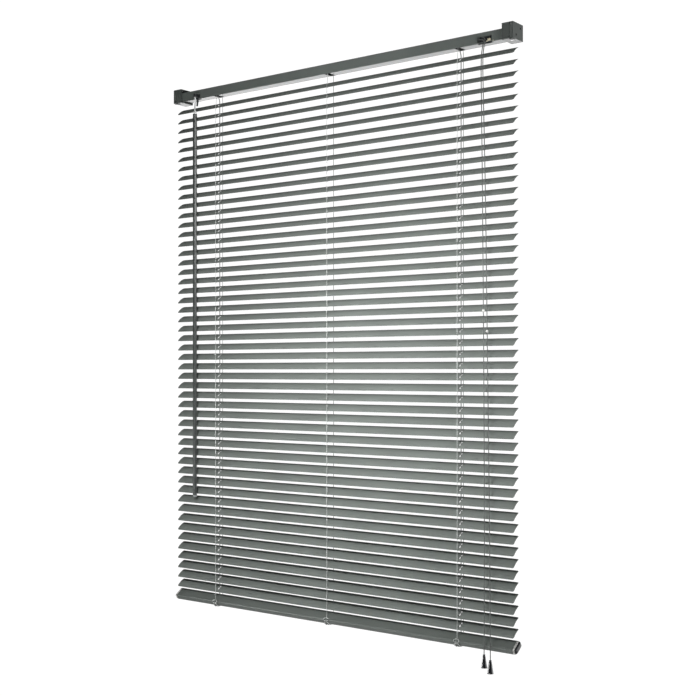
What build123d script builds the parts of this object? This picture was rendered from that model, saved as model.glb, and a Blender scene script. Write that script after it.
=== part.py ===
# Venetian blind, 25 mm aluminium slats, fixed by two box brackets.
# Origin: middle of the ceiling screw holes, on the brackets' top face.
# +Z is up, +X is to the right seen from the room, -Y faces the room.
import math
import os

from build123d import *

os.makedirs("parts", exist_ok=True)

# Slats and ladders
slat_count = 51
slat_pitch = 21.74
slat_length = 883.0
slat_width = 25.0
slat_crown = 1.8
slat_gauge = 0.4
slat_corner = 3.0
slat_edge_drop = 0.6  # the slat's edges lie this far under its tilt axis
first_slat_z = -48.4
rest_tilt = 35.0  # room-side edge low
ladder_x = [-319.0, 0.0, 319.0]
ladder_reach = 13.9  # tilt axis to ladder cord
ladder_cord_d = 1.0

# Lift cords
cord_d = 1.8
cord_side_step = 1.8  # lift cord beside the ladder's middle plane
lift_x = [ladder_x[0] + cord_side_step, ladder_x[2] + cord_side_step]
guide_y = [-8.2, -10.3]  # the two cords run side by side in the headrail
guide_z = -13.0
lift_bend_z = -38.0  # where a lift cord leaves the slats
cord_slot_length = 12.0
cord_slot_width = 3.4

# Headrail
rail_half = 442.0
rail_depth = 25.0
rail_top = -7.5
rail_bottom = -28.0
rail_wall = 0.8
rail_mouth = 18.0
ladder_slot = (13.0, 22.4)
cradle_slot = (13.0, 21.2)
lock_window = (363.8, 395.4)
lock_window_top = -16.3
tilter_x = -374.0
tilter_notch = (-379.5, -367.0)
tilter_notch_top = -18.0
notch_back_y = -4.0

# Box brackets
bracket_height = 31.0
bracket_width = 24.0
bracket_depth = 38.0
bracket_wall = 1.2
bracket_mid = 433.0
gate_flange = 3.0
gate_gauge = 1.0
gate_play = 0.3
screw_r = 2.1
top_hole_y = 9.0
back_hole_z = (-10.0, -22.0)
side_holes = [(9.0, -8.0), (-7.0, -22.6)]

# Tilt rod and drums
rod_z = -17.0
rod_flats = 5.0
rod_span = (-388.0, 340.0)
rod_play = 0.1
drum_r = 6.2
drum_flange_r = 7.0
drum_length = 9.0
drum_flange = 1.0
wheel_teeth = 12
wheel_r = 5.2
wheel_length = 9.0

# Wand
wand_y = -21.5
wand_flats = 9.0
wand_top = -64.0
wand_bottom = -928.0
wand_tip = 4.0
stem_r = 1.6
stem_top = -19.2
socket_r = 3.2
socket_top = -58.0

# Bottom rail
foot_z = -1161.5
foot_width = 27.0
foot_depth = 14.0
foot_half = 440.0
foot_wall = 1.0
foot_corner = 4.5
cap_start = 441.0
cap_end = 447.5

# Tassels and cord stops
tassel_length = 25.5
tassel_top_r = 2.6
tassel_bottom_r = 6.4
stop_r = 2.6


def tilted(x, z, facing="end"):
    """A plane on the tilt axis at height z, turned to the rest tilt."""
    c = math.cos(math.radians(rest_tilt))
    s = math.sin(math.radians(rest_tilt))
    if facing == "end":
        return Plane(origin=(x, 0, z), x_dir=(0, c, s), z_dir=(1, 0, 0))
    return Plane(origin=(x, 0, z), x_dir=(1, 0, 0), z_dir=(0, -s, c))


def end_plane(x):
    """Cross-section plane at x: local x is +Y and local y is +Z."""
    return Plane(origin=(x, 0, 0), x_dir=(0, 1, 0), z_dir=(1, 0, 0))


def save(builder, name):
    builder.part.label = name
    export_step(builder.part, f"parts/{name}.step")


def save_group(name, pieces):
    """Write one node that holds several separate solids, each with its own label."""
    for label, piece in pieces.items():
        piece.label = label
    group = Compound(label=name, children=list(pieces.values()))
    export_step(group, f"parts/{name}.step")


def bend_radii(route):
    """Largest arc for each corner: 0.45 of its shorter run over tan of half the turn."""
    radii = []
    for before, corner, after in zip(route, route[1:], route[2:]):
        run_in = Vector(corner) - Vector(before)
        run_out = Vector(after) - Vector(corner)
        half_turn = math.radians(run_in.get_angle(run_out)) / 2
        radii.append(0.45 * min(run_in.length, run_out.length) / math.tan(half_turn))
    return radii


def tube(route, diameter):
    """One round cord along straight runs joined by tangent arcs."""
    with BuildPart() as cord:
        with BuildLine() as path:
            FilletPolyline(*route, radius=bend_radii(route))
        with BuildSketch(Plane(origin=path.line @ 0, z_dir=path.line % 0)):
            Circle(diameter / 2)
        sweep()
    length = sum(edge.length for edge in path.line.edges())
    ratio = cord.part.volume / (math.pi * diameter**2 / 4 * length)
    radii = [round(radius, 1) for radius in bend_radii(route)]
    print(f"cord {length:.1f} mm long, volume ratio {ratio:.4f}, radii {radii}")
    return cord.part


# ---- Slats: crowned strips with rounded ends and two cord slots each ----
def build_slat(name, z):
    half = slat_width / 2
    low = -slat_edge_drop
    top = low + slat_crown
    with BuildPart() as slat:
        with BuildSketch(tilted(-slat_length / 2, z)):
            with BuildLine():
                ThreePointArc((-half, low), (0, top), (half, low))
                Line((half, low), (half, low + slat_gauge))
                ThreePointArc(
                    (half, low + slat_gauge), (0, top + slat_gauge), (-half, low + slat_gauge)
                )
                Line((-half, low + slat_gauge), (-half, low))
            make_face()
        extrude(amount=slat_length)
        with BuildSketch(tilted(0, z, "face")):
            RectangleRounded(slat_length, slat_width, slat_corner)
        extrude(amount=2 * slat_crown, both=True, mode=Mode.INTERSECT)
        with BuildSketch(tilted(0, z, "face")):
            with Locations(*[(x, 0) for x in lift_x]):
                SlotOverall(cord_slot_length, cord_slot_width, rotation=90)
        extrude(amount=2 * slat_crown, both=True, mode=Mode.SUBTRACT)
    save(slat, name)


for index in range(slat_count):
    build_slat(f"slat_{index + 1:02d}", first_slat_z - index * slat_pitch)

# ---- Headrail: U channel, rolled lips, slots for ladders, lock and tilter ----
rail_height = rail_top - rail_bottom
rail_mid_z = (rail_top + rail_bottom) / 2
with BuildPart() as headrail:
    with BuildSketch(end_plane(-rail_half)):
        with Locations((0, rail_mid_z)):
            RectangleRounded(rail_depth, rail_height, 1.5)
            Rectangle(rail_depth - 2 * rail_wall, rail_height - 2 * rail_wall, mode=Mode.SUBTRACT)
        with Locations((0, rail_top)):
            Rectangle(rail_mouth, 4 * rail_wall, mode=Mode.SUBTRACT)
    extrude(amount=2 * rail_half)
    with Locations(*[(x, 0, rail_bottom) for x in ladder_x]):
        Box(*ladder_slot, 4 * rail_wall, mode=Mode.SUBTRACT)
    for low_x, high_x, top_z in (
        (*lock_window, lock_window_top),
        (*tilter_notch, tilter_notch_top),
    ):
        cut_depth = rail_depth / 2 + notch_back_y
        with Locations(((low_x + high_x) / 2, -rail_depth / 2 + cut_depth / 2, rail_bottom)):
            Box(high_x - low_x, cut_depth, 4 * rail_wall, mode=Mode.SUBTRACT)
        with Locations(((low_x + high_x) / 2, -rail_depth / 2, (top_z + rail_bottom) / 2)):
            Box(high_x - low_x, 4 * rail_wall, top_z - rail_bottom, mode=Mode.SUBTRACT)
save(headrail, "headrail")


# ---- Box brackets: pressed boxes open to the headrail, each with its front gate ----
def bracket_box(side):
    mid = side * bracket_mid
    outer = mid + side * bracket_width / 2
    with BuildPart() as box:
        with Locations((mid, 0, -bracket_height / 2)):
            Box(bracket_width, bracket_depth, bracket_height)
        with Locations((mid - side * bracket_wall, 0, -bracket_height / 2)):
            Box(
                bracket_width,
                bracket_depth - 2 * bracket_wall,
                bracket_height - 2 * bracket_wall,
                mode=Mode.SUBTRACT,
            )
        with Locations((mid - side * gate_flange, -bracket_depth / 2, -bracket_height / 2)):
            Box(
                bracket_width,
                4 * bracket_wall,
                bracket_height - 2 * bracket_wall,
                mode=Mode.SUBTRACT,
            )
        # seat ribs that carry the headrail
        rib_height = rail_bottom + bracket_height - bracket_wall
        with Locations(*[(mid - side, y, rail_bottom - rib_height / 2) for y in (-8, 8)]):
            Box(bracket_width - 4, 2, rib_height)
        # catch spring bent out under the floor
        with Locations((mid + side * 6, -12, -bracket_height - 1.2)):
            Box(6, 10, 0.8)
        with Locations((mid + side * 6, -7.4, -bracket_height - 0.6)):
            Box(6, 0.8, 1.6)
        # screw holes through the top, the back and the outer side
        with Locations(*[(mid, y, 0) for y in (-top_hole_y, top_hole_y)]):
            Cylinder(screw_r, 4 * bracket_wall, mode=Mode.SUBTRACT)
        with Locations(*[(mid, bracket_depth / 2, z) for z in back_hole_z]):
            Cylinder(screw_r, 4 * bracket_wall, rotation=(90, 0, 0), mode=Mode.SUBTRACT)
        with Locations(*[(outer, y, z) for y, z in side_holes]):
            Cylinder(screw_r, 4 * bracket_wall, rotation=(0, 90, 0), mode=Mode.SUBTRACT)
    return box.part


def bracket_gate(side):
    gate_x = side * (bracket_mid - gate_flange / 2)
    gate_y = (gate_gauge - bracket_depth) / 2
    gate_width = bracket_width - gate_flange - 2 * gate_play
    gate_height = bracket_height - 2 * bracket_wall - 2 * gate_play
    knuckle_r = 1.1
    with BuildPart() as gate:
        with Locations((gate_x, gate_y, -bracket_height / 2)):
            Box(gate_width, gate_gauge, gate_height)
        with Locations((gate_x, gate_y - gate_gauge, -bracket_height / 2)):
            Box(gate_width - 7, gate_gauge, gate_height - 8)
        knuckle_x = gate_x + side * (gate_width / 2 - knuckle_r)
        with Locations((knuckle_x, gate_y - knuckle_r / 2, -bracket_height / 2)):
            Cylinder(knuckle_r, gate_height)
    return gate.part


save_group(
    "mounting_brackets",
    {
        "left_bracket": bracket_box(-1),
        "right_bracket": bracket_box(1),
        "left_gate": bracket_gate(-1),
        "right_gate": bracket_gate(1),
    },
)


# ---- Fittings in the headrail: end plugs, tilter, ladder cradles, cord lock ----
def end_plug(side):
    plug_length = 8.0
    with BuildPart() as plug:
        with BuildSketch(end_plane(side * rail_half)):
            with Locations((0, rail_mid_z)):
                RectangleRounded(rail_depth, rail_height, 1.5)
        extrude(amount=side * 1.2)
        with Locations((side * (rail_half - plug_length / 2), 0, rail_mid_z)):
            Box(plug_length, rail_depth - 2 * rail_wall - 0.6, rail_height - 2 * rail_wall - 0.6)
    return plug.part


def tilter_case():
    case_size = (30.0, 22.8, 17.8)
    case_wall = 1.2
    case_mid = (-377.0, 0, -18.1)
    nose_r = 3.6
    snout_x = -371.6
    with BuildPart() as case:
        with Locations(case_mid):
            Box(*case_size)
            Box(*[size - 2 * case_wall for size in case_size], mode=Mode.SUBTRACT)
        with Locations((case_mid[0] + case_size[0] / 2, 0, rod_z)):
            Cylinder(3.5, 6, rotation=(0, 90, 0), mode=Mode.SUBTRACT)
        # nose that guides the wand's stem
        with BuildSketch(Plane.XY.offset(-25.4)):
            with Locations((tilter_x, (wand_y - 11) / 2)):
                Rectangle(2 * nose_r, -11 - wand_y)
            with Locations((tilter_x, wand_y)):
                Circle(nose_r)
            with Locations((snout_x - 0.4, -11.8)):
                Rectangle(9.6, 1.4)
        extrude(amount=7)
        # tapered snout leaning towards the room
        with BuildSketch(Plane.XY.offset(-24.5)):
            with Locations((snout_x, -14.2)):
                Circle(3.1)
        with BuildSketch(Plane.XY.offset(-45.7)):
            with Locations((snout_x, -17)):
                Circle(1.9)
        loft()
        with Locations((tilter_x, wand_y, -22.5)):
            Cylinder(stem_r + 0.5, 7.4, mode=Mode.SUBTRACT)
    return case.part


def ladder_cradle(x):
    cradle_wall = 1.4
    cradle_half = 9.4
    cradle_depth = 22.8
    cheek_height = 16.8
    with BuildPart() as cradle:
        with Locations((x, 0, rail_bottom + rail_wall + cradle_wall / 2)):
            Box(2 * cradle_half, cradle_depth, cradle_wall)
            Box(*cradle_slot, 2 * cradle_wall, mode=Mode.SUBTRACT)
        cheek_step = cradle_half - cradle_wall / 2
        for cheek_x in (x - cheek_step, x + cheek_step):
            with Locations((cheek_x, 2.2, rail_bottom + rail_wall + cheek_height / 2)):
                Box(cradle_wall, 18.2, cheek_height)
            with Locations((cheek_x, 0, rod_z)):
                Cylinder(3.5, 3 * cradle_wall, rotation=(0, 90, 0), mode=Mode.SUBTRACT)
    return cradle.part


def cross_pin(x, y, z, radius, length):
    with BuildPart() as pin:
        with Locations((x, y, z)):
            Cylinder(radius, length, rotation=(90, 0, 0))
    return pin.part


def lock_frame():
    with BuildPart() as frame:
        with Locations((379.6, 3, -18)):
            Box(28.4, 16.4, 17.2)
            Box(25.4, 13.4, 20, mode=Mode.SUBTRACT)
    return frame.part


save_group(
    "headrail_fittings",
    {
        "left_end_plug": end_plug(-1),
        "right_end_plug": end_plug(1),
        "tilter_case": tilter_case(),
        "left_cradle": ladder_cradle(ladder_x[0]),
        "middle_cradle": ladder_cradle(ladder_x[1]),
        "right_cradle": ladder_cradle(ladder_x[2]),
        "left_cord_roller": cross_pin(lift_x[0] + 4.9, guide_y[0], -17.9, 3.5, 1.3),
        "right_cord_roller": cross_pin(lift_x[1] + 4.9, guide_y[1], -17.9, 3.5, 1.3),
        "cord_lock_frame": lock_frame(),
        "cord_lock_roller": cross_pin(387.6, -7.4, -22.6, 3.2, 4.2),
        "cord_lock_pin": cross_pin(387.6, -7.4, -15.4, 1.2, 4.2),
    },
)


# ---- Tilt rod with its three ladder drums and the tilter's worm wheel ----
def hex_rod():
    with BuildPart() as rod:
        with BuildSketch(end_plane(rod_span[0])):
            with Locations((0, rod_z)):
                RegularPolygon(rod_flats / 2, 6, major_radius=False)
        extrude(amount=rod_span[1] - rod_span[0])
    return rod.part


def ladder_drum(x):
    with BuildPart() as drum:
        for face_x, radius, length in (
            (x - drum_length / 2, drum_r, drum_length),
            (x - drum_length / 2 - drum_flange, drum_flange_r, drum_flange),
            (x + drum_length / 2, drum_flange_r, drum_flange),
        ):
            with BuildSketch(end_plane(face_x)):
                with Locations((0, rod_z)):
                    Circle(radius)
                    RegularPolygon(
                        rod_flats / 2 + rod_play, 6, major_radius=False, mode=Mode.SUBTRACT
                    )
            extrude(amount=length)
    return drum.part


def worm_wheel():
    with BuildPart() as wheel:
        with BuildSketch(end_plane(tilter_x - wheel_length / 2)):
            with Locations((0, rod_z)):
                Circle(wheel_r)
                with PolarLocations(wheel_r, wheel_teeth):
                    Rectangle(1.8, 1.3)
            with Locations((0, rod_z)):
                RegularPolygon(rod_flats / 2 + rod_play, 6, major_radius=False, mode=Mode.SUBTRACT)
        extrude(amount=wheel_length)
    return wheel.part


save_group(
    "tilt_rod",
    {
        "hexagonal_rod": hex_rod(),
        "left_drum": ladder_drum(ladder_x[0]),
        "middle_drum": ladder_drum(ladder_x[1]),
        "right_drum": ladder_drum(ladder_x[2]),
        "worm_wheel": worm_wheel(),
    },
)

# ---- Tilt wand: clear stem with its socket, hexagonal wand and tip ----
with BuildPart() as stem:
    with Locations((tilter_x, wand_y, (stem_top + socket_top) / 2)):
        Cylinder(stem_r, stem_top - socket_top)
    with Locations((tilter_x, wand_y, (socket_top + wand_top) / 2)):
        Cylinder(socket_r, socket_top - wand_top)
with BuildPart() as wand:
    with BuildSketch(Plane.XY.offset(wand_top)):
        with Locations((tilter_x, wand_y)):
            RegularPolygon(wand_flats / 2, 6, major_radius=False)
    extrude(amount=wand_bottom - wand_top)
with BuildPart() as tip:
    with Locations((tilter_x, wand_y, wand_bottom - wand_tip / 2)):
        Cylinder(wand_flats / 2 + 0.3, wand_tip)
save_group("tilt_wand", {"wand_stem": stem.part, "wand": wand.part, "wand_tip": tip.part})

# ---- Ladder cords: three on the room side and three on the window side ----
reach_y = ladder_reach * math.cos(math.radians(rest_tilt))
reach_z = ladder_reach * math.sin(math.radians(rest_tilt))
for name, side, bend_z, end_gap in (
    ("ladder_front", -1, first_slat_z - reach_z, 3.2),
    ("ladder_back", 1, rail_bottom - 5, 8.6),
):
    strings = {}
    for place, x in zip(("left", "middle", "right"), ladder_x):
        route = [
            (x, side * (drum_r + 0.7), rod_z + side * 1.5),
            (x, side * reach_y, bend_z),
            (x, side * reach_y, foot_z + end_gap),
        ]
        strings[f"{place}_{name}_cord"] = tube(route, ladder_cord_d)
    save_group(name, strings)


# ---- Bottom rail: closed rounded section, end caps and ladder clips ----
def foot_tube():
    with BuildPart() as foot:
        with BuildSketch(tilted(-foot_half, foot_z)):
            RectangleRounded(foot_width, foot_depth, foot_corner)
            RectangleRounded(
                foot_width - 2 * foot_wall,
                foot_depth - 2 * foot_wall,
                foot_corner - foot_wall,
                mode=Mode.SUBTRACT,
            )
        extrude(amount=2 * foot_half)
    return foot.part


def foot_cap(side):
    spigot_inset = 1.4
    spigot_depth = 10.0
    with BuildPart() as cap:
        with BuildSketch(tilted(side * cap_start, foot_z)):
            RectangleRounded(foot_width, foot_depth, foot_corner)
        extrude(amount=side * (cap_end - cap_start))
        with BuildSketch(tilted(side * (foot_half - spigot_depth), foot_z)):
            RectangleRounded(
                foot_width - 2 * spigot_inset,
                foot_depth - 2 * spigot_inset,
                foot_corner - spigot_inset,
            )
        extrude(amount=side * (cap_start - foot_half + spigot_depth))
    return cap.part


def ladder_clip(x):
    clip_width = 10.0
    clip_play = 0.1
    clip_gauge = 1.2
    clip_wrap = 7.0  # how far the clip reaches over the rail's faces
    outside = 2 * (clip_play + clip_gauge)
    with BuildPart() as clip:
        with BuildSketch(tilted(x - clip_width / 2, foot_z)):
            RectangleRounded(
                foot_width + outside, foot_depth + outside, foot_corner + outside / 2
            )
            RectangleRounded(
                foot_width + 2 * clip_play,
                foot_depth + 2 * clip_play,
                foot_corner + clip_play,
                mode=Mode.SUBTRACT,
            )
            with Locations((clip_wrap - foot_width, 0)):
                Rectangle(foot_width, 2 * foot_depth, mode=Mode.INTERSECT)
        extrude(amount=clip_width)
    return clip.part


save_group(
    "bottom_rail",
    {
        "bottom_rail_tube": foot_tube(),
        "left_rail_cap": foot_cap(-1),
        "right_rail_cap": foot_cap(1),
        "left_ladder_clip": ladder_clip(ladder_x[0]),
        "middle_ladder_clip": ladder_clip(ladder_x[1]),
        "right_ladder_clip": ladder_clip(ladder_x[2]),
    },
)

# ---- Lift cords: up through the slats, along the rail, out of the lock ----
pull_routes = [
    [
        (376.0, -8.2, -22.0),
        (376.0, -10.0, -30.0),
        (376.2, -15.0, -42.0),
        (376.6, -18.4, -62.0),
        (377.4, -19.8, -102.0),
        (379.0, -20.2, -182.0),
        (381.0, -20.3, -340.0),
        (383.6, -20.4, -640.0),
        (385.4, -20.4, -960.0),
        (384.6, -21.0, -1178.2),
    ],
    [
        (380.0, -10.3, -22.0),
        (380.0, -11.4, -30.0),
        (380.4, -16.2, -42.0),
        (381.2, -20.0, -62.0),
        (382.6, -21.6, -102.0),
        (385.2, -22.2, -182.0),
        (389.0, -22.3, -340.0),
        (393.0, -22.4, -640.0),
        (398.0, -22.6, -960.0),
        (399.4, -23.0, -1186.3),
    ],
]


def lift_route(x, side_y, pull):
    """From above the bottom rail up through the slats, then along the headrail to the lock."""
    lock_x, lock_y, lock_z = pull[0]
    return [
        (x, 0, foot_z + 17.5),
        (x, 0, lift_bend_z),
        (x, side_y, -23),
        (x, side_y, guide_z),
        (lock_x, side_y, guide_z),
        (lock_x, lock_y, lock_z),
    ]


def along(route, z):
    """The point of a hanging route at height z."""
    above = min((p for p in route if p[2] >= z), key=lambda p: p[2])
    below = max((p for p in route if p[2] < z), key=lambda p: p[2])
    share = (z - below[2]) / (above[2] - below[2])
    return tuple(b + share * (a - b) for a, b in zip(above, below))


def cord_stop(route, z):
    with BuildPart() as stop:
        with Locations(along(route, z)):
            Sphere(stop_r)
            Cylinder(cord_d / 2 + 0.2, 3 * stop_r, mode=Mode.SUBTRACT)
    return stop.part


def tassel(route):
    x, y, z = route[-1]
    with BuildPart() as bell:
        with Locations((x, y, z - tassel_length / 2)):
            Cone(tassel_bottom_r, tassel_top_r, tassel_length)
    return bell.part


stop_z = [-538.0, -565.5]
cord_pieces = {}
for place, x, side_y, pull, z in zip(("left", "right"), lift_x, guide_y, pull_routes, stop_z):
    cord_pieces[f"{place}_pull_cord"] = tube(pull, cord_d)
    cord_pieces[f"{place}_lift_cord"] = tube(lift_route(x, side_y, pull), cord_d)
    cord_pieces[f"{place}_cord_stop"] = cord_stop(pull, z)
    cord_pieces[f"{place}_tassel"] = tassel(pull)
save_group("lift_cords", cord_pieces)
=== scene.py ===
import math
import bpy
import numpy as np
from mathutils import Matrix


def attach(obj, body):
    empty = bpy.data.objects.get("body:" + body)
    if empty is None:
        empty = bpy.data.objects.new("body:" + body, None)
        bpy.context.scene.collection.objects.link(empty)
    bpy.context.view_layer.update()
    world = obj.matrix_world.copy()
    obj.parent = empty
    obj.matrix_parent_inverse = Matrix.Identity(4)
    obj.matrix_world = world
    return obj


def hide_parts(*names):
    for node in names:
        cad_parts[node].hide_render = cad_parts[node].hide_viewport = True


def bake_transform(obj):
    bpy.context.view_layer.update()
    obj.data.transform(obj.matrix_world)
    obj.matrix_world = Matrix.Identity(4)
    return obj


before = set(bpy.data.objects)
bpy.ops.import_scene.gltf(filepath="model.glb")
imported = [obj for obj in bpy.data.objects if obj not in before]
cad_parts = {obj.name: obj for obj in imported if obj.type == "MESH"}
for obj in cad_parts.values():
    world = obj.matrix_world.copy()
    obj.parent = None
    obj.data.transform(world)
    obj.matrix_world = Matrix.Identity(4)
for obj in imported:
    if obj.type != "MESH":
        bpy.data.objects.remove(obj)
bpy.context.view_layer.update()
mm = 0.001

# the blind's own sizes, in millimetres, as the part has them
blind = {
    "slats": 51,
    "pitch": 21.74,
    "firstSlatZ": -48.4,
    "tilt": 35.0,          # room-side edge low
    "ladderX": (-319.0, 0.0, 319.0),
    "ladderReach": 13.9,
    "liftX": (-317.2, 320.8),
    "rodZ": -17.0,
    "footZ": -1161.5,
    "tilterX": -374.0,
    "wandY": -21.5,
}
tiltCos = math.cos(math.radians(blind["tilt"]))
tiltSin = math.sin(math.radians(blind["tilt"]))
slatZ = blind["firstSlatZ"] - blind["pitch"] * np.arange(blind["slats"])


# a grid of m by n points becomes m-1 by n-1 quads, plus the closing strip where a side wraps
def gridFaces(m, n, wrapU=False, wrapV=False):
    i, j = np.meshgrid(np.arange(m if wrapU else m - 1), np.arange(n if wrapV else n - 1), indexing="ij")
    i, j = i.ravel(), j.ravel()
    i2, j2 = (i + 1) % m, (j + 1) % n
    quads = np.stack([i * n + j, i2 * n + j, i2 * n + j2, i * n + j2], 1)
    uv = np.stack([np.stack([i, j], 1), np.stack([i + 1, j], 1),
                   np.stack([i + 1, j + 1], 1), np.stack([i, j + 1], 1)], 1).astype(float)
    return quads, uv


# six times a closed mesh's volume is the sum of (a x b) . c over its triangles; below zero means inside out
def faceOutwards(mesh):
    mesh.calc_loop_triangles()
    corners = np.empty(len(mesh.loop_triangles) * 3, int)
    mesh.loop_triangles.foreach_get("vertices", corners)
    places = np.empty(len(mesh.vertices) * 3)
    mesh.vertices.foreach_get("co", places)
    a, b, c = places.reshape(-1, 3)[corners].reshape(-1, 3, 3).transpose(1, 0, 2)
    if np.einsum("ij,ij->", np.cross(a, b), c) < 0:
        mesh.flip_normals()


def makePiece(name, verts, faces, material, uv=None, sharpAngle=40):
    mesh = bpy.data.meshes.new(name)
    mesh.from_pydata(np.asarray(verts, float).tolist(), [], [list(map(int, f)) for f in faces])
    if uv is not None:
        layer = mesh.uv_layers.new(name="weaveMap")
        layer.data.foreach_set("uv", uv.ravel())
    mesh.validate()
    faceOutwards(mesh)
    piece = bpy.data.objects.new(name, mesh)
    bpy.context.scene.collection.objects.link(piece)
    mesh.materials.append(material)
    mesh.polygons.foreach_set("use_smooth", np.ones(len(mesh.polygons), bool))
    mesh.set_sharp_from_angle(angle=math.radians(sharpAngle))
    return piece


# several (verts, faces) blocks become one block, each with its own points
def joinParts(parts):
    verts, faces, start = [], [], 0
    for v, f in parts:
        verts.append(np.asarray(v, float).reshape(-1, 3))
        faces.extend([[int(k) + start for k in face] for face in f])
        start += len(verts[-1])
    return np.concatenate(verts), faces


# the two end faces of a block of m rings with n points each, wound the same way as its quads
def endCaps(m, n):
    return [list(range(n)), list(range((m - 1) * n, m * n))[::-1]]


# profile (k by 2) carried through stations (t, scale):
# point = origin + axis*t + scale*(profile in the plane of a and b)
def loftBlock(profile, stations, origin, a, b, axis):
    t = np.array([s[0] for s in stations])[:, None, None]
    scale = np.array([s[1] for s in stations], float).reshape(len(stations), 1, -1)
    flat = np.asarray(profile, float)[None] * scale
    origin, a, b, axis = (np.asarray(way, float) for way in (origin, a, b, axis))
    points = origin + t * axis + flat[..., :1] * a + flat[..., 1:] * b
    m, n = points.shape[:2]
    quads, _ = gridFaces(m, n, wrapV=True)
    return points.reshape(-1, 3), quads.tolist() + endCaps(m, n)


# a rectangle w by d whose corners are quarter circles of radius r, going round counter-clockwise
def roundedRect(w, d, r, steps=5):
    angle = np.linspace(0, math.pi / 2, steps)
    corners = []
    for k, (sx, sy) in enumerate([(1, 1), (-1, 1), (-1, -1), (1, -1)]):
        turn = angle + k * math.pi / 2
        corners.append(np.stack([sx * (w / 2 - r) + r * np.cos(turn),
                                 sy * (d / 2 - r) + r * np.sin(turn)], 1))
    return np.concatenate(corners)


# (radius, z) pairs turned about a vertical axis; flutes add a cosine ripple of that depth round the axis
def turnedBlock(profile, centre, sides=32, flutes=0, depth=0.0):
    profile = np.asarray(profile, float)
    angle = np.linspace(0, 2 * math.pi, sides, endpoint=False)
    ripple = 1 + depth * np.cos(flutes * angle)
    r = profile[:, :1] * ripple[None]
    points = np.stack([centre[0] + r * np.cos(angle), centre[1] + r * np.sin(angle),
                       centre[2] + profile[:, 1:] + 0 * r], -1)
    m, n = points.shape[:2]
    quads, _ = gridFaces(m, n, wrapV=True)
    return points.reshape(-1, 3), quads.tolist() + endCaps(m, n)


# a round tube: centreline + radius*(cos*side + sin*up), with the map's u in strand lengths and v round it;
# the corners of its two ends stay at zero on the map
def tubeBlock(line, radius, sides=8, strand=2.0):
    line = np.asarray(line, float)
    tangent = np.gradient(line, axis=0)
    tangent /= np.linalg.norm(tangent, axis=1)[:, None]
    guide = np.array([1.0, 0.13, 0.07]) if abs(tangent[0][0]) < 0.8 else np.array([0.05, 0.1, 1.0])
    side = np.cross(tangent, guide)
    side /= np.linalg.norm(side, axis=1)[:, None]
    up = np.cross(tangent, side)
    angle = np.linspace(0, 2 * math.pi, sides, endpoint=False)
    points = (line[:, None] + radius * (np.cos(angle)[None, :, None] * side[:, None]
                                        + np.sin(angle)[None, :, None] * up[:, None]))
    m, n = points.shape[:2]
    quads, uv = gridFaces(m, n, wrapV=True)
    reach = np.concatenate([[0], np.cumsum(np.linalg.norm(np.diff(line, axis=0), axis=1))])
    uv = np.stack([reach[uv[..., 0].astype(int)] / (strand * mm), uv[..., 1] / sides], -1).reshape(-1, 2)
    return points.reshape(-1, 3), quads.tolist() + endCaps(m, n), np.concatenate([uv, np.zeros((2 * n, 2))])


# across the slat v, out of its face n, along the blind x: into the frame at that height
def tilted(x, v, n, z):
    x, v, n = np.broadcast_arrays(x, v, n)
    return np.stack([x, v * tiltCos - n * tiltSin, z + v * tiltSin + n * tiltCos], -1) * mm


camera = {"place": (1.52786, -1.93020, -0.6465), "turn": 37.5, "lens": 60.96, "shiftY": 0.033}
lensData = bpy.data.cameras.new("camera")
lensData.lens = camera["lens"]
lensData.sensor_width = 36
lensData.shift_y = camera["shiftY"]
lensData.clip_start, lensData.clip_end = 0.05, 100
eye = bpy.data.objects.new("camera", lensData)
eye.location = camera["place"]
eye.rotation_euler = (math.radians(90), 0, math.radians(camera["turn"]))
bpy.context.scene.collection.objects.link(eye)
bpy.context.scene.camera = eye
print("camera placed")


def startMaterial(name):
    material = bpy.data.materials.new(name)
    material.use_nodes = True
    nodes, links = material.node_tree.nodes, material.node_tree.links
    return material, nodes, links, nodes["Principled BSDF"]


def objectNoise(nodes, links, stretch, scale, detail):
    place = nodes.new("ShaderNodeTexCoord")
    turn = nodes.new("ShaderNodeMapping")
    turn.inputs["Scale"].default_value = stretch
    noise = nodes.new("ShaderNodeTexNoise")
    noise.inputs["Scale"].default_value = scale
    noise.inputs["Detail"].default_value = detail
    links.new(place.outputs["Object"], turn.inputs["Vector"])
    links.new(turn.outputs["Vector"], noise.inputs["Vector"])
    return noise.outputs["Fac"]


# a noise keeps mostly between these two values, so they stand for its darkest and lightest
noiseLow, noiseHigh = 0.3, 0.7


def spread(nodes, links, source, low, high):
    step = nodes.new("ShaderNodeMapRange")
    for socket, value in (("From Min", noiseLow), ("From Max", noiseHigh), ("To Min", low), ("To Max", high)):
        step.inputs[socket].default_value = value
    links.new(source, step.inputs["Value"])
    return step.outputs["Result"]


def tinted(nodes, links, source, dark, light):
    ramp = nodes.new("ShaderNodeValToRGB")
    for element, place, colour in zip(ramp.color_ramp.elements, (noiseLow, noiseHigh), (dark, light)):
        element.position = place
        element.color = (*colour, 1)
    links.new(source, ramp.inputs["Fac"])
    return ramp.outputs["Color"]


# heights are (source, distance in metres), laid one over the other
def bumped(nodes, links, shader, heights):
    last = None
    for source, distance in heights:
        bump = nodes.new("ShaderNodeBump")
        bump.inputs["Strength"].default_value = 0.6
        bump.inputs["Distance"].default_value = distance
        links.new(source, bump.inputs["Height"])
        if last:
            links.new(last, bump.inputs["Normal"])
        last = bump.outputs["Normal"]
    links.new(last, shader.inputs["Normal"])


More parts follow.
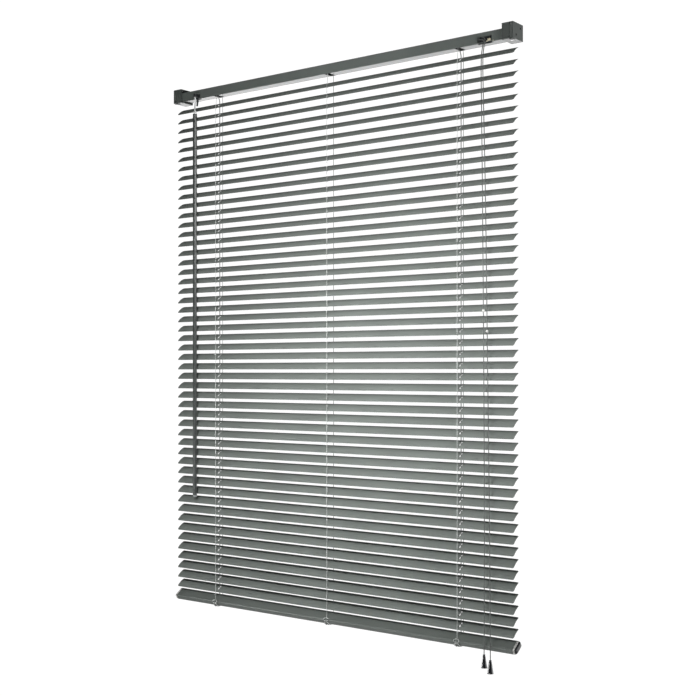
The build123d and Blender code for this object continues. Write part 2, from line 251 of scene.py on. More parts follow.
# stoved enamel: broad tone drift, fine orange peel, faint streaks along the rolled strip
def enamel(name, colour, roughness, streak=(6, 700, 700), peel=0.00002, coat=0.0):
    material, nodes, links, shader = startMaterial(name)
    tone = objectNoise(nodes, links, (1, 1, 1), 9, 4)
    dark, light = ([c * share for c in colour] for share in (0.93, 1.06))
    links.new(tinted(nodes, links, tone, dark, light), shader.inputs["Base Color"])
    rolled = objectNoise(nodes, links, streak, 1, 3)
    links.new(spread(nodes, links, rolled, roughness - 0.05, roughness + 0.06), shader.inputs["Roughness"])
    skin = objectNoise(nodes, links, (1, 1, 1), 1100, 2)
    bumped(nodes, links, shader, [(rolled, peel * 0.6), (skin, peel)])
    shader.inputs["Coat Weight"].default_value = coat
    shader.inputs["Coat Roughness"].default_value = 0.18
    return material


# moulded plastic: spark-eroded grain, slight tone drift
def moulded(name, colour, roughness, grain=0.00004, coat=0.0):
    material, nodes, links, shader = startMaterial(name)
    tone = objectNoise(nodes, links, (1, 1, 1), 60, 3)
    dark, light = ([c * share for c in colour] for share in (0.9, 1.1))
    links.new(tinted(nodes, links, tone, dark, light), shader.inputs["Base Color"])
    pits = objectNoise(nodes, links, (1, 1, 1), 2500, 3)
    links.new(spread(nodes, links, pits, roughness - 0.06, roughness + 0.08), shader.inputs["Roughness"])
    bumped(nodes, links, shader, [(pits, grain)])
    shader.inputs["Coat Weight"].default_value = coat
    return material


# drawn metal: fine lines along the way it was pulled, in tone, gloss and height
def metal(name, colour, roughness, drawn):
    material, nodes, links, shader = startMaterial(name)
    shader.inputs["Metallic"].default_value = 1.0
    lines = objectNoise(nodes, links, drawn, 400, 4)
    links.new(tinted(nodes, links, lines, [c * 0.85 for c in colour], colour), shader.inputs["Base Color"])
    links.new(spread(nodes, links, lines, roughness - 0.08, roughness + 0.12), shader.inputs["Roughness"])
    bumped(nodes, links, shader, [(lines, 0.00002)])
    return material


# braided cord: two sets of strands crossing round the tube, from the cord's own map; its colour is painted
# darker in the grooves between strands as painted shade and lighter on the strand crowns as a painted
# highlight
def braided(name, colour, strands=4):
    material, nodes, links, shader = startMaterial(name)
    weave = nodes.new("ShaderNodeUVMap")
    weave.uv_map = "weaveMap"
    waves = []
    for lean in (1, -1):
        turn = nodes.new("ShaderNodeMapping")
        turn.inputs["Scale"].default_value = (1.0, lean * strands * 0.5, 1)
        wave = nodes.new("ShaderNodeTexWave")
        wave.wave_type = "BANDS"
        wave.bands_direction = "DIAGONAL"
        wave.inputs["Scale"].default_value = 0.62
        wave.inputs["Distortion"].default_value = 0.4
        links.new(weave.outputs["UV"], turn.inputs["Vector"])
        links.new(turn.outputs["Vector"], wave.inputs["Vector"])
        waves.append(wave.outputs["Fac"])
    crossing = nodes.new("ShaderNodeMath")
    crossing.operation = "MAXIMUM"
    links.new(waves[0], crossing.inputs[0])
    links.new(waves[1], crossing.inputs[1])
    # painted shade in the grooves and painted highlight on the crowns, following the weave's height
    dark, light = ([c * share for c in colour] for share in (0.55, 1.15))
    links.new(tinted(nodes, links, crossing.outputs[0], dark, light), shader.inputs["Base Color"])
    fuzz = objectNoise(nodes, links, (1, 1, 1), 3000, 2)
    links.new(spread(nodes, links, fuzz, 0.72, 0.92), shader.inputs["Roughness"])
    shader.inputs["Sheen Weight"].default_value = 0.25
    bumped(nodes, links, shader, [(crossing.outputs[0], 0.00015), (fuzz, 0.00003)])
    return material


# clear plastic with a slight haze, half see-through
def clearPlastic(name):
    material, nodes, links, shader = startMaterial(name)
    haze = objectNoise(nodes, links, (1, 1, 1), 300, 3)
    links.new(spread(nodes, links, haze, 0.12, 0.28), shader.inputs["Roughness"])
    links.new(tinted(nodes, links, haze, (0.86, 0.88, 0.88), (0.94, 0.95, 0.95)), shader.inputs["Base Color"])
    shader.inputs["Transmission Weight"].default_value = 0.4
    shader.inputs["IOR"].default_value = 1.49
    bumped(nodes, links, shader, [(haze, 0.00003)])
    return material


finish = {
    "slat": enamel("slatEnamel", (0.160, 0.177, 0.165), 0.40),
    "rail": enamel("railEnamel", (0.132, 0.149, 0.139), 0.38, coat=0.5),
    "foot": enamel("footEnamel", (0.118, 0.132, 0.122), 0.36, coat=0.15),
    "bracket": enamel("bracketEnamel", (0.092, 0.104, 0.098), 0.40, streak=(60, 60, 60), peel=0.00004,
                      coat=0.4),
    "plastic": moulded("darkPlastic", (0.020, 0.022, 0.024), 0.42),
    "tassel": moulded("tasselPlastic", (0.012, 0.013, 0.015), 0.16, grain=0.00001, coat=0.8),
    "wand": moulded("wandPlastic", (0.046, 0.051, 0.049), 0.28, grain=0.00002),
    "tip": moulded("tipPlastic", (0.34, 0.36, 0.36), 0.4, grain=0.00002),
    # pale plastic: the cord stops' own colour; on the end caps' collars it is a painted highlight
    "pale": moulded("palePlastic", (0.60, 0.60, 0.58), 0.3, grain=0.00001, coat=0.3),
    "steel": metal("zincSteel", (0.62, 0.62, 0.63), 0.32, drawn=(0.05, 1, 1)),
    "lever": moulded("creamPlastic", (0.66, 0.60, 0.42), 0.35, grain=0.00001, coat=0.3),
    "clear": clearPlastic("clearStemPlastic"),
    # one ladder cord in three tones: the front strings are painted lighter as painted light, and the rungs
    # and the back strings are painted darker as painted shade
    "ladderFront": braided("ladderFrontLitBraid", (0.52, 0.54, 0.525)),
    "ladderBack": braided("ladderBackShadedBraid", (0.085, 0.092, 0.088)),
    "rung": braided("rungShadedBraid", (0.34, 0.36, 0.345)),
    "cord": braided("liftBraid", (0.105, 0.112, 0.108), strands=6),
}
print("finishes mixed")


# each pull cord's route runs from the cord lock to its tassel
pullCord = {
    "diameter": 1.8,
    "routes": [
        [(376.0, -8.2, -22.0), (376.0, -10.0, -30.0), (376.2, -15.0, -42.0), (376.6, -18.4, -62.0),
         (377.4, -19.8, -102.0), (379.0, -20.2, -182.0), (381.0, -20.3, -340.0), (383.6, -20.4, -640.0),
         (385.4, -20.4, -960.0), (384.6, -21.0, -1178.2)],
        [(380.0, -10.3, -22.0), (380.0, -11.4, -30.0), (380.4, -16.2, -42.0), (381.2, -20.0, -62.0),
         (382.6, -21.6, -102.0), (385.2, -22.2, -182.0), (389.0, -22.3, -340.0), (393.0, -22.4, -640.0),
         (398.0, -22.6, -960.0), (399.4, -23.0, -1186.3)],
    ],
    "stopZ": (-538.0, -565.5),
    "stopRadius": 2.6,
    "guideY": (-8.2, -10.3),
    "guideZ": -13.0,
    "bendZ": -38.0,        # where a lift cord leaves the slats
    "footGap": 17.5,       # heights over the bottom rail's axis: here the cord's foot begins to bend
    "footEnd": 7.5,        # and here it enters the rail
}


# the smooth line through a route: a NURBS spline with the route's points as its control points
def smoothLine(name, route, resolution=14):
    curve = bpy.data.curves.new(name, "CURVE")
    curve.dimensions = "3D"
    spline = curve.splines.new("NURBS")
    spline.points.add(len(route) - 1)
    for point, place in zip(spline.points, route):
        point.co = (*[c * mm for c in place], 1)
    spline.order_u = 3
    spline.use_endpoint_u = True
    spline.resolution_u = resolution
    holder = bpy.data.objects.new(name, curve)
    bpy.context.scene.collection.objects.link(holder)
    bpy.context.view_layer.update()
    drawn = bpy.data.meshes.new_from_object(holder)
    line = np.array([v.co for v in drawn.vertices])
    bpy.data.objects.remove(holder)
    return line


# the bell's profile is (radius, z below the cord's end): a collar, then a skirt that widens downwards
bell = {
    "profile": [(0.2, 0.0), (1.9, 0.0), (2.5, -0.4), (2.6, -1.6), (2.4, -2.4), (2.9, -3.4), (3.3, -6.0),
                (3.9, -10.0), (4.7, -15.0), (5.5, -20.0), (6.1, -23.6), (6.3, -24.6), (6.0, -25.3),
                (5.2, -25.5), (0.2, -25.4)],
    "flutes": 12,
    "fluteDepth": 0.035,
}


# tassel: the profile turned about the cord, rippled by its flutes
def tasselPiece(name, end):
    verts, faces = turnedBlock(np.array(bell["profile"]) * mm, np.array(end) * mm, sides=60,
                               flutes=bell["flutes"], depth=bell["fluteDepth"])
    return makePiece(name, verts, faces, finish["tassel"])


# cord stop: a ball a little taller than wide, cut flat at both ends
def beadPiece(name, centre, radius):
    polar = np.linspace(0.25, math.pi - 0.25, 13)
    profile = np.stack([radius * np.sin(polar), radius * np.cos(polar) * 1.15], 1)
    verts, faces = turnedBlock(profile * mm, np.array(centre) * mm, sides=24)
    return makePiece(name, verts, faces, finish["pale"])


for side, x, guideY, route, stopZ in zip(("left", "right"), blind["liftX"], pullCord["guideY"],
                                         pullCord["routes"], pullCord["stopZ"]):
    line = smoothLine(side + "PullRoute", route)
    verts, faces, uv = tubeBlock(line, pullCord["diameter"] / 2 * mm, sides=12, strand=1.6)
    pull = makePiece(side + "PullCord", verts, faces, finish["cord"], uv)
    tassel = tasselPiece(side + "Tassel", route[-1])
    nearest = line[np.argmin(np.abs(line[:, 2] - stopZ * mm))] / mm
    stop = beadPiece(side + "CordStop", nearest, pullCord["stopRadius"])
    for piece in (pull, tassel, stop):
        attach(piece, "rail_and_brackets")
    lockX, lockY, lockZ = route[0]
    # two points more on the straight run keep the smooth line upright through the slots
    bendZ, guideZ = pullCord["bendZ"], pullCord["guideZ"]
    footTop, footEnd = [(x, 0, blind["footZ"] + pullCord[key]) for key in ("footGap", "footEnd")]
    inner = [footTop, (x, 0, bendZ - 60), (x, 0, bendZ - 8), (x, 0, bendZ), (x, guideY, guideZ - 10),
             (x, guideY, guideZ), (lockX, guideY, guideZ), (lockX, lockY, lockZ)]
    innerLine = smoothLine(side + "LiftRoute", inner, resolution=24)
    verts, faces, uv = tubeBlock(innerLine, pullCord["diameter"] / 2 * mm, sides=10, strand=1.6)
    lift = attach(makePiece(side + "LiftCord", verts, faces, finish["cord"], uv), "rail_and_brackets")
    # the cord's foot: a straight piece from footGap down to footEnd over the bottom rail's axis, baked in
    # place
    footLine = np.linspace(footTop, footEnd, 9) * mm
    verts, faces, uv = tubeBlock(footLine, pullCord["diameter"] / 2 * mm, sides=10, strand=1.6)
    end = makePiece(side + "LiftCordFoot", verts, faces, finish["cord"], uv)
    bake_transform(end)
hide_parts("lift_cords")
print("cords hung")


# rows run along the slat, columns across it; each slot sits in a patch of its own, ringHalf to each side
slat = {"length": 883.0, "width": 25.0, "crown": 1.8, "edgeDrop": 0.6, "gauge": 0.4, "corner": 3.0,
        "slotLength": 12.0, "slotWidth": 3.4, "rows": 12, "columns": 17, "endColumns": 3, "ringHalf": 9.0}


# a plan patch between two x values: columns keep the rows' shares of the local half width
def planPatch(xs, halves, rows):
    share = np.linspace(-1, 1, rows + 1)
    return np.stack([np.repeat(xs[:, None], rows + 1, 1), halves[:, None] * share[None]], -1)


# round one cord slot: rings from the slot's outline out to a rectangle whose sides meet the patches' rows
def slotRing(x, rows):
    half = slat["width"] / 2
    share = np.linspace(-1, 1, rows + 1)
    across = np.array([-1, -0.5, 0, 0.5, 1]) * slat["ringHalf"]
    side = half * share
    rect = np.concatenate([
        np.stack([np.full(rows, slat["ringHalf"]), side[:-1]], 1),
        np.stack([across[::-1][:-1], np.full(4, half)], 1),
        np.stack([np.full(rows, -slat["ringHalf"]), side[::-1][:-1]], 1),
        np.stack([across[:-1], np.full(4, -half)], 1)])
    # slot outline: the nearest direction on a stadium, straight flanks with round ends
    angle = np.arctan2(rect[:, 1] / half, rect[:, 0] / slat["ringHalf"])
    r = slat["slotWidth"] / 2
    straight = slat["slotLength"] / 2 - r
    v = np.sin(angle) * (straight + r)
    inEnd = np.abs(v) > straight
    endV = np.clip(np.abs(v) - straight, 0, r)
    u = np.where(inEnd, np.sqrt(np.maximum(r * r - endV ** 2, 0)), r) * np.sign(np.round(np.cos(angle), 9))
    outline = np.stack([u, v], 1)
    steps = np.linspace(0, 1, 4)[:, None, None]
    ring = outline[None] * (1 - steps) + rect[None] * steps
    ring[..., 0] += x
    return ring


def slatPlan():
    rows = slat["rows"]
    half, end, r = slat["width"] / 2, slat["length"] / 2, slat["corner"]
    turn = np.linspace(0, math.pi / 2, 6)
    endX = end - r + r * np.sin(turn[::-1])
    endHalf = half - r + r * np.cos(turn[::-1])
    low, high = sorted(blind["liftX"])
    ring, extra = slat["ringHalf"], slat["endColumns"]
    columns = [
        (np.concatenate([-endX, np.linspace(-end + r, low - ring, extra + 1)[1:]]),
         np.concatenate([endHalf, np.full(extra, half)])),
        (np.linspace(low + ring, high - ring, slat["columns"]), np.full(slat["columns"], half)),
        (np.concatenate([np.linspace(high + ring, end - r, extra + 1)[:-1], endX[::-1]]),
         np.concatenate([np.full(extra, half), endHalf[::-1]])),
    ]
    points, quads, start = [], [], 0
    for xs, halves in columns:
        patch = planPatch(xs, halves, rows)
        q, _ = gridFaces(*patch.shape[:2])
        points.append(patch.reshape(-1, 2))
        quads.append(q + start)
        start += len(points[-1])
    for x in (low, high):
        patch = slotRing(x, rows)
        q, _ = gridFaces(*patch.shape[:2], wrapV=True)
        points.append(patch.reshape(-1, 2))
        quads.append(q + start)
        start += len(points[-1])
    points, quads = np.concatenate(points), np.concatenate(quads)
    # points shared by two patches are merged
    _, first, back = np.unique(np.round(points, 4), axis=0, return_index=True, return_inverse=True)
    return points[first], back.reshape(-1)[quads]


# top and bottom skins lie one gauge apart on the crown n = crown*(1 - (v/half)^2) - edge drop, and walls
# close every open edge: those are the edges that no second quad runs back along
def slatBlock():
    plan, quads = slatPlan()
    n = len(plan)
    crown = -slat["edgeDrop"] + slat["crown"] * (1 - (plan[:, 1] / (slat["width"] / 2)) ** 2)
    a, b, c, d = (plan[quads[:, k]] for k in range(4))
    area = np.cross(c - a, d - b)
    quads = np.where((area < 0)[:, None], quads[:, ::-1], quads)
    edges = np.concatenate([quads[:, [k, (k + 1) % 4]] for k in range(4)])
    code = edges[:, 0].astype(np.int64) * n + edges[:, 1]
    twin = edges[:, 1].astype(np.int64) * n + edges[:, 0]
    rim = edges[~np.isin(code, twin)]
    walls = np.stack([rim[:, 1], rim[:, 0], rim[:, 0] + n, rim[:, 1] + n], 1)
    faces = np.concatenate([quads, quads[:, ::-1] + n, walls])
    x = np.concatenate([plan[:, 0], plan[:, 0]])
    v = np.concatenate([plan[:, 1], plan[:, 1]])
    lift = np.concatenate([crown + slat["gauge"], crown])
    return x, v, lift, faces


slatX, slatV, slatN, slatFaces = slatBlock()
print("slat: %d points, %d faces" % (len(slatX), len(slatFaces)))
rung = {"radius": 0.28, "spread": 1.1, "under": 0.35, "endLift": 0.5}


# two thin threads under the slat at each ladder, from one ladder cord to the other, apart in the middle
def rungBlock(z):
    parts, uvs = [], []
    v = np.array([-1, -0.9, -0.5, 0, 0.5, 0.9, 1]) * blind["ladderReach"]
    apart = np.array([0.1, 0.8, 1, 1, 1, 0.8, 0.1]) * rung["spread"]
    n = np.full(len(v), -slat["edgeDrop"] - rung["under"])
    n[[0, -1]] += rung["endLift"]
    for x in blind["ladderX"]:
        for side in (-1, 1):
            line = tilted(x + side * apart, v, n, z)
            verts, faces, uv = tubeBlock(line, rung["radius"] * mm, sides=6, strand=0.9)
            parts.append((verts, faces))
            uvs.append(uv)
    return *joinParts(parts), np.concatenate(uvs)


for index, z in enumerate(slatZ):
    body = "slat_%02d" % (index + 1)
    piece = makePiece("slat%02d" % (index + 1), tilted(slatX, slatV, slatN, z), slatFaces, finish["slat"])
    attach(piece, body)
    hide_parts(body)
    verts, faces, uv = rungBlock(z)
    rungs = makePiece("rungs%02d" % (index + 1), verts, faces, finish["rung"], uv)
    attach(rungs, body)
print("slats and rungs strung")

reachY = blind["ladderReach"] * tiltCos
reachZ = blind["ladderReach"] * tiltSin
# a string runs from its drum to the bend, then straight down to footGap over the bottom rail's axis; above
# the first slat's edge it is baked in place
ladder = {
    "diameter": 1.0,
    "drumReach": 6.9,
    "drumRise": 1.5,
    "strings": {
        "Front": {"sign": -1, "bendZ": blind["firstSlatZ"] - reachZ, "footGap": 3.2, "freeZ": -30.0},
        "Back": {"sign": 1, "bendZ": -33.0, "footGap": 8.6, "freeZ": -26.0},
    },
}
for name, string in ladder["strings"].items():
    sign, bendZ = string["sign"], string["bendZ"]
    for place, x in zip(("left", "middle", "right"), blind["ladderX"]):
        top = np.array((x, sign * ladder["drumReach"], blind["rodZ"] + sign * ladder["drumRise"]))
        bend = np.array((x, sign * reachY, bendZ))
        # points close on both sides of the bend keep it tight
        route = [top, bend + 0.12 * (top - bend), bend, (x, sign * reachY, bendZ - 6),
                 (x, sign * reachY, blind["footZ"] + string["footGap"])]
        line = smoothLine(place + name, route, resolution=20)
        # above the first slat's edge the drum pays the string out; there the string is cut into a top piece
        # baked in place, and the rest goes with the ladder
        edgeZ = blind["firstSlatZ"] + sign * reachZ
        cut, free = [int(np.argmin(np.abs(line[:, 2] - z * mm))) for z in (edgeZ, string["freeZ"])]
        for part, points in (("Top", line[:cut + 1]), ("", line[cut:])):
            verts, faces, uv = tubeBlock(points, ladder["diameter"] / 2 * mm, sides=8, strand=1.2)
            piece = makePiece(place + "Ladder" + name + part, verts, faces, finish["ladder" + name], uv)
            if part:
                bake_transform(piece)
            else:
                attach(piece, "ladder_" + name.lower())
    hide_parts("ladder_" + name.lower())
print("ladders strung")

# the bottom rail's stations are (x, share of its section): an end cap is a collar of two ridges in pale
# plastic, the pale a painted highlight on the ridges, then a dark dome
foot = {
    "half": 440.0,
    "width": 27.0,
    "depth": 14.0,
    "corner": 4.5,
    "edge": 0.4,
    "edgeShare": (0.96, 0.93),
    "capCollar": [(434.0, (0.8, 0.7)), (441.0, (0.8, 0.7)), (441.0, (1, 1)), (442.1, (1, 1)),
                  (442.2, (0.9, 0.84)), (442.9, (0.9, 0.84)), (443.0, (0.99, 0.98)), (444.2, (0.97, 0.95))],
    "capDome": [(444.2, (0.93, 0.87)), (445.6, (0.9, 0.82)), (446.7, (0.8, 0.68)), (447.3, (0.62, 0.5)),
                (447.5, (0.4, 0.3))],
}
acrossDir = (0, tiltCos, tiltSin)
outDir = (0, -tiltSin, tiltCos)
footAt = np.array([0, 0, blind["footZ"]]) * mm


def footPiece(name, profile, stations, material):
    placed = [(x * mm, share) for x, share in stations]
    verts, faces = loftBlock(np.asarray(profile) * mm, placed, footAt, acrossDir, outDir, (1, 0, 0))
    piece = makePiece(name, verts, faces, material)
    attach(piece, "bottom_rail")
    return piece


railSection = roundedRect(foot["width"], foot["depth"], foot["corner"], 8)
half, shoulder = foot["half"], foot["half"] - foot["edge"]
stations = [(-half, foot["edgeShare"]), (-shoulder, (1, 1)), (shoulder, (1, 1)), (half, foot["edgeShare"])]
tube = footPiece("bottomRailTube", railSection, stations, finish["foot"])
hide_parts("bottom_rail")
for side, sign in (("left", -1), ("right", 1)):
    # the collar's pale plastic is a painted highlight on the cap's ridges
    for name, key, material in (("CapCollar", "capCollar", "pale"), ("CapDome", "capDome", "plastic")):
        placed = [(sign * x, share) for x, share in foot[key]][::sign]
        footPiece(side + name, railSection, placed, finish[material])

# ladder clips: a band round the room side, its section an arc of the outline out and the same arc back
# inside; the lashings swing through that many half waves along the arc; plugs are (step in x, share of arc)
clip = {"half": 5.0, "wrap": -5.0, "gauge": 1.2, "play": 0.1, "cord": 1.3, "swing": 6.5, "halfWaves": 2.5,
        "plugs": ((-3.6, 0.30), (3.4, 0.42), (0.0, 0.62), (-4.2, 0.78), (4.4, 0.86)),
        "plugProfile": ((0.1, 1.1), (0.8, 0.9), (1.2, 0.0), (0.8, -0.9), (0.1, -1.1))}


def outlineArc(grow):
    ring = roundedRect(foot["width"] + 2 * grow, foot["depth"] + 2 * grow, foot["corner"] + grow, 8)
    ring = ring[ring[:, 0] < clip["wrap"]]
    return ring[np.argsort(np.arctan2(ring[:, 1], -ring[:, 0] + clip["wrap"]))]


clipSection = np.concatenate([outlineArc(clip["play"] + clip["gauge"]), outlineArc(clip["play"])[::-1]])[::-1]
# the ladder's ends cross over the clip and go under the rail: x swings from side to side along the arc
lashArc = outlineArc(clip["play"] + clip["gauge"] + clip["cord"] / 2)
for side, x in zip(("left", "middle", "right"), blind["ladderX"]):
    footPiece(side + "LadderClip", clipSection, [(x - clip["half"], (1, 1)), (x + clip["half"], (1, 1))],
              finish["foot"])
    wave = np.cos(clip["halfWaves"] * math.pi * np.linspace(0, 1, len(lashArc)))
    lashes, lashMaps = [], []
    for lean in (-1, 1):
        line = tilted(x + lean * clip["swing"] * wave, lashArc[:, 0], lashArc[:, 1], blind["footZ"])
        verts, faces, uv = tubeBlock(line, clip["cord"] / 2 * mm, sides=8, strand=1.2)
        lashes.append((verts, faces))
        lashMaps.append(uv)
    verts, faces = joinParts(lashes)
    # the lashings take the front strings' lighter tone, which is painted light
    lash = makePiece(side + "LadderLash", verts, faces, finish["ladderFront"], np.concatenate(lashMaps))
    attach(lash, "bottom_rail")
    plugs = []
    for stepX, at in clip["plugs"]:
        v, n = lashArc[int(at * (len(lashArc) - 1))]
        centre = tilted(x + stepX, v, n, blind["footZ"])
        plugs.append(turnedBlock(np.array(clip["plugProfile"]) * mm, centre, 12))
    plug = makePiece(side + "LadderPlug", *joinParts(plugs), finish["plastic"])
    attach(plug, "bottom_rail")
print("bottom rail closed")

# the wand's rod is (z, share of its section), its tip (radius, z from the rod's foot), its stem (radius, z)
wand = {
    "flats": 9.0,
    "cornerShare": 1.115,
    "rod": [(-928.0, 0.93), (-927.5, 1), (-64.6, 1), (-64.0, 0.9)],
    "tip": [(0.1, -4.0), (3.0, -4.0), (4.1, -3.4), (4.7, -1.6), (4.8, -0.1), (0.1, -0.1)],
    "stem": [(0.1, -19.2), (1.3, -19.2), (1.6, -19.8), (1.6, -56.5), (2.2, -57.6), (3.1, -58.2), (3.2, -60.0),
             (3.2, -63.9), (0.1, -63.9)],
}
wandAt = np.array([blind["tilterX"], blind["wandY"], 0]) * mm
# six flats with softened corners: r = apothem / cos(angle from the flat's middle), held under a circle
angle = np.linspace(0, 2 * math.pi, 48, endpoint=False)
fromFlat = (angle % (math.pi / 3)) - math.pi / 6
apothem = wand["flats"] / 2
hexR = np.minimum(apothem / np.cos(fromFlat), apothem * wand["cornerShare"])
hexSection = np.stack([hexR * np.cos(angle), hexR * np.sin(angle)], 1)
stations = [(z * mm, share) for z, share in wand["rod"]]
verts, faces = loftBlock(hexSection * mm, stations, wandAt, (1, 0, 0), (0, 1, 0), (0, 0, 1))
wandRod = makePiece("wandRod", verts, faces, finish["wand"], sharpAngle=25)
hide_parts("tilt_wand")
tipProfile = np.array(wand["tip"]) + [0, wand["rod"][0][0]]
wandTip = makePiece("wandTip", *turnedBlock(tipProfile * mm, wandAt), finish["tip"])
wandStem = makePiece("wandStem", *turnedBlock(np.array(wand["stem"]) * mm, wandAt), finish["clear"])
for piece in (wandRod, wandTip, wandStem):
    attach(piece, "tilt_wand")
print("wand hung")

# small trim on the rail and brackets, with the sizes of each block along x, y and z
trim = {
    "lockFrame": {"x": (361.6, 397.6), "z": (-27.6, -13.4), "y": (-13.1, -12.3), "rim": 1.0, "corner": 2.2},
    "lever": {"centre": (390.2, -12.6, -23.6), "size": (6.4, 1.6, 4.6)},
    "leverFoot": {"centre": (386.0, -12.4, -26.0), "size": (3.2, 1.8, 2.2)},
    "leverStub": {"centre": (399.4, -12.9, -26.6), "size": (2.6, 0.8, 1.2)},
    "catchTab": {"x": 439.0, "y": -12.0, "z": -32.2, "size": (6.8, 10.8, 1.3)},
    "gateRib": {"x": 443.4, "y": -19.3, "z": -15.5, "size": (1.0, 0.9, 27.6), "steps": (3.0, 6.0)},
}


# a small block with rounded edges: its plan carried up through four stations, drawn in at both ends
def smallBlock(centre, size):
    w, d, h = size
    corner, edge, drawnIn = min(0.3, w / 3, d / 3), 0.12, 0.94
    stations = [(-h / 2, drawnIn), (-h / 2 + edge, 1), (h / 2 - edge, 1), (h / 2, drawnIn)]
    return loftBlock(roundedRect(w, d, corner, 4) * mm, [(z * mm, share) for z, share in stations],
                     np.array(centre) * mm, (1, 0, 0), (0, 1, 0), (0, 0, 1))


def fixedPiece(name, parts, material):
    piece = makePiece(name, *joinParts(parts), finish[material], sharpAngle=35)
    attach(piece, "rail_and_brackets")
    return piece


# the lock's frame: rounded rectangles for the outer and inner outline, front and back, joined as one ring
frameSpec = trim["lockFrame"]
(x0, x1), (z0, z1), (y0, y1) = frameSpec["x"], frameSpec["z"], frameSpec["y"]
rim, corner = frameSpec["rim"], frameSpec["corner"]
outer = roundedRect(x1 - x0, z1 - z0, corner, 6)
inner = roundedRect(x1 - x0 - 2 * rim, z1 - z0 - 2 * rim, corner - rim, 6)
rings = [np.insert(ring + [(x0 + x1) / 2, (z0 + z1) / 2], 1, y, axis=1)
         for ring, y in ((outer, y1), (outer, y0), (inner, y0), (inner, y1))]
quads, _ = gridFaces(4, len(outer), wrapU=True, wrapV=True)
fixedPiece("lockFrameRim", [(np.concatenate(rings) * mm, quads.tolist())], "rail")
fixedPiece("lockLever", [smallBlock(**trim[key]) for key in ("lever", "leverFoot", "leverStub")],
           "lever")
tab, rib = trim["catchTab"], trim["gateRib"]
fixedPiece("catchTabs", [smallBlock((sign * tab["x"], tab["y"], tab["z"]), tab["size"]) for sign in (-1, 1)],
           "steel")
fixedPiece("gateRibs", [smallBlock((sign * (rib["x"] - step), rib["y"], rib["z"]), rib["size"])
                        for sign in (-1, 1) for step in rib["steps"]], "plastic")
print("trim fixed")

# the steel and plastic pieces of the rail keep the part's own meshes
for node, name in (("headrail", "rail"), ("mounting_brackets", "bracket"), ("headrail_fittings", "plastic"),
                   ("tilt_rod", "steel")):
    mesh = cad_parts[node].data
    mesh.materials.clear()
    mesh.materials.append(finish[name])
print("rail finished")

# behind, above and below are the soft edges of the light band, as parts of a direction's y and z
studio = {
    "floorZ": -3.2,
    "floorSize": 5.0,
    "floorGlow": 0.35,
    "skySeen": 1.05,
    "skyBand": 1.0,
    "skyRest": 0.04,
    "gloss": 2.6,
    "behind": (-0.1, 0.35),
    "above": (-0.40, -0.24),
    "below": (0.10, 0.26),
}
half = studio["floorSize"] / 2
floorMesh = bpy.data.meshes.new("floor")
corners = [(x * half, y * half, studio["floorZ"]) for x, y in ((-1, -1), (1, -1), (1, 1), (-1, 1))]
floorMesh.from_pydata(corners, [], [(0, 1, 2, 3)])
floor = bpy.data.objects.new("floor", floorMesh)
bpy.context.scene.collection.objects.link(floor)
paper, nodes, links, shader = startMaterial("studioPaper")
shader.inputs["Base Color"].default_value = (0.85, 0.85, 0.85, 1)
shader.inputs["Roughness"].default_value = 0.9
shader.inputs["Emission Color"].default_value = (1, 1, 1, 1)
# white to the eye, dimmer as a light on the undersides
eyeRay, glow = nodes.new("ShaderNodeLightPath"), nodes.new("ShaderNodeMapRange")
glow.inputs["To Min"].default_value = studio["floorGlow"]
links.new(eyeRay.outputs["Is Camera Ray"], glow.inputs["Value"])
links.new(glow.outputs["Result"], shader.inputs["Emission Strength"])
floorMesh.materials.append(paper)

# white to the eye; what it lights with is a bright band low behind the blind, and dim elsewhere
world = bpy.data.worlds.new("studio")
bpy.context.scene.world = world
world.use_nodes = True
nodes, links = world.node_tree.nodes, world.node_tree.links
nodes.clear()
out = nodes.new("ShaderNodeOutputWorld")
seen, lit = nodes.new("ShaderNodeBackground"), nodes.new("ShaderNodeBackground")
seen.inputs["Color"].default_value = (1, 1, 1, 1)
seen.inputs["Strength"].default_value = studio["skySeen"]
lit.inputs["Color"].default_value = (1, 1, 1, 1)
place, parts = nodes.new("ShaderNodeTexCoord"), nodes.new("ShaderNodeSeparateXYZ")
links.new(place.outputs["Generated"], parts.inputs["Vector"])


def ranged(source, fromLow, fromHigh, toLow, toHigh):
    step = nodes.new("ShaderNodeMapRange")
    step.interpolation_type = "SMOOTHSTEP"
    for socket, value in (("From Min", fromLow), ("From Max", fromHigh),
                          ("To Min", toLow), ("To Max", toHigh)):
        step.inputs[socket].default_value = value
    links.new(source, step.inputs["Value"])
    return step.outputs["Result"]


def product(a, b):
    times = nodes.new("ShaderNodeMath")
    times.operation = "MULTIPLY"
    links.new(a, times.inputs[0])
    links.new(b, times.inputs[1])
    return times.outputs[0]


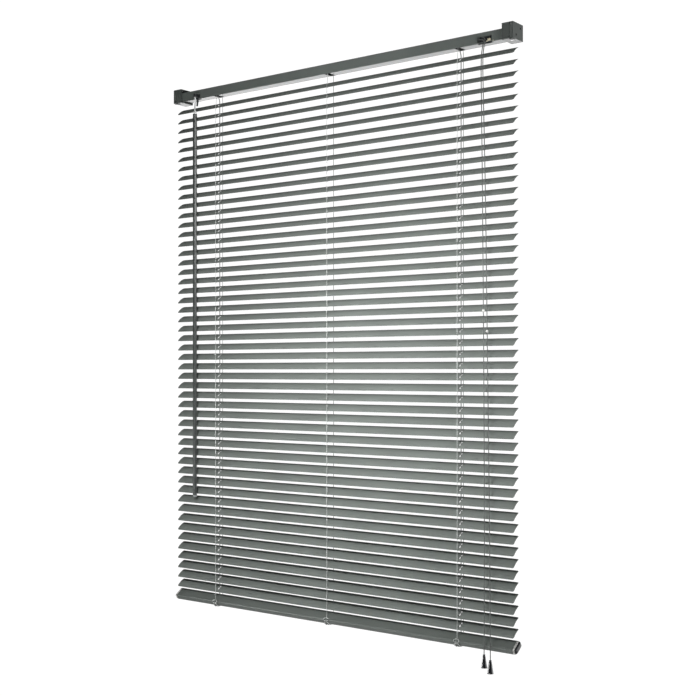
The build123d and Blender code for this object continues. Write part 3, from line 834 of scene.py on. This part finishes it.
behind = ranged(parts.outputs["Y"], *studio["behind"], 0, 1)
above = ranged(parts.outputs["Z"], *studio["above"], 0, 1)
below = ranged(parts.outputs["Z"], *studio["below"], 1, 0)
band = product(product(behind, above), below)
pathKind = nodes.new("ShaderNodeLightPath")
glossy = ranged(pathKind.outputs["Is Glossy Ray"], 0, 1, studio["skyBand"], studio["gloss"])
strength = nodes.new("ShaderNodeMath")
strength.operation = "ADD"
links.new(product(band, glossy), strength.inputs[0])
strength.inputs[1].default_value = studio["skyRest"]
links.new(strength.outputs[0], lit.inputs["Strength"])
mixed = nodes.new("ShaderNodeMixShader")
links.new(pathKind.outputs["Is Camera Ray"], mixed.inputs["Fac"])
links.new(lit.outputs[0], mixed.inputs[1])
links.new(seen.outputs[0], mixed.inputs[2])
links.new(mixed.outputs[0], out.inputs["Surface"])

# the key is a gridded box at the height of the upper slats, so its light falls off towards the blind's ends
softboxes = {
    "keyBox": {"place": (0.50, -1.2, -0.20), "aim": (0, 0, -0.66), "size": 0.32, "spread": 70, "watts": 4.7},
    "topBox": {"place": (0.0, -1.4, 1.5), "aim": (0, 0, -0.6), "size": 1.6, "spread": 180, "watts": 4.5},
    "lowBox": {"place": (0.3, -1.8, -2.0), "aim": (0, 0, -0.2), "size": 1.4, "spread": 180, "watts": 17},
    "endBox": {"place": (2.2, -0.9, 0.2), "aim": (0.45, 0, -0.1), "size": 0.6, "spread": 70, "watts": 3},
    "streakBox": {"place": (-1.6, -1.8, -1.1), "aim": (0.38, 0, -1.19), "size": 0.4, "spread": 50,
                  "watts": 0.8},
}
for name, box in softboxes.items():
    lamp = bpy.data.lights.new(name, "AREA")
    lamp.shape = "SQUARE"
    lamp.size = box["size"]
    lamp.energy = box["watts"]
    lamp.spread = math.radians(box["spread"])
    holder = bpy.data.objects.new(name, lamp)
    holder.location = box["place"]
    away = np.array(box["place"]) - np.array(box["aim"])
    yaw = math.atan2(away[0], -away[1])
    pitch = math.atan2(math.hypot(away[0], away[1]), away[2])
    holder.rotation_euler = (pitch, 0, yaw)
    holder.visible_camera = False
    bpy.context.scene.collection.objects.link(holder)
bpy.context.scene.view_settings.view_transform = "Standard"
bpy.context.scene.view_settings.look = "None"
print("studio lit")
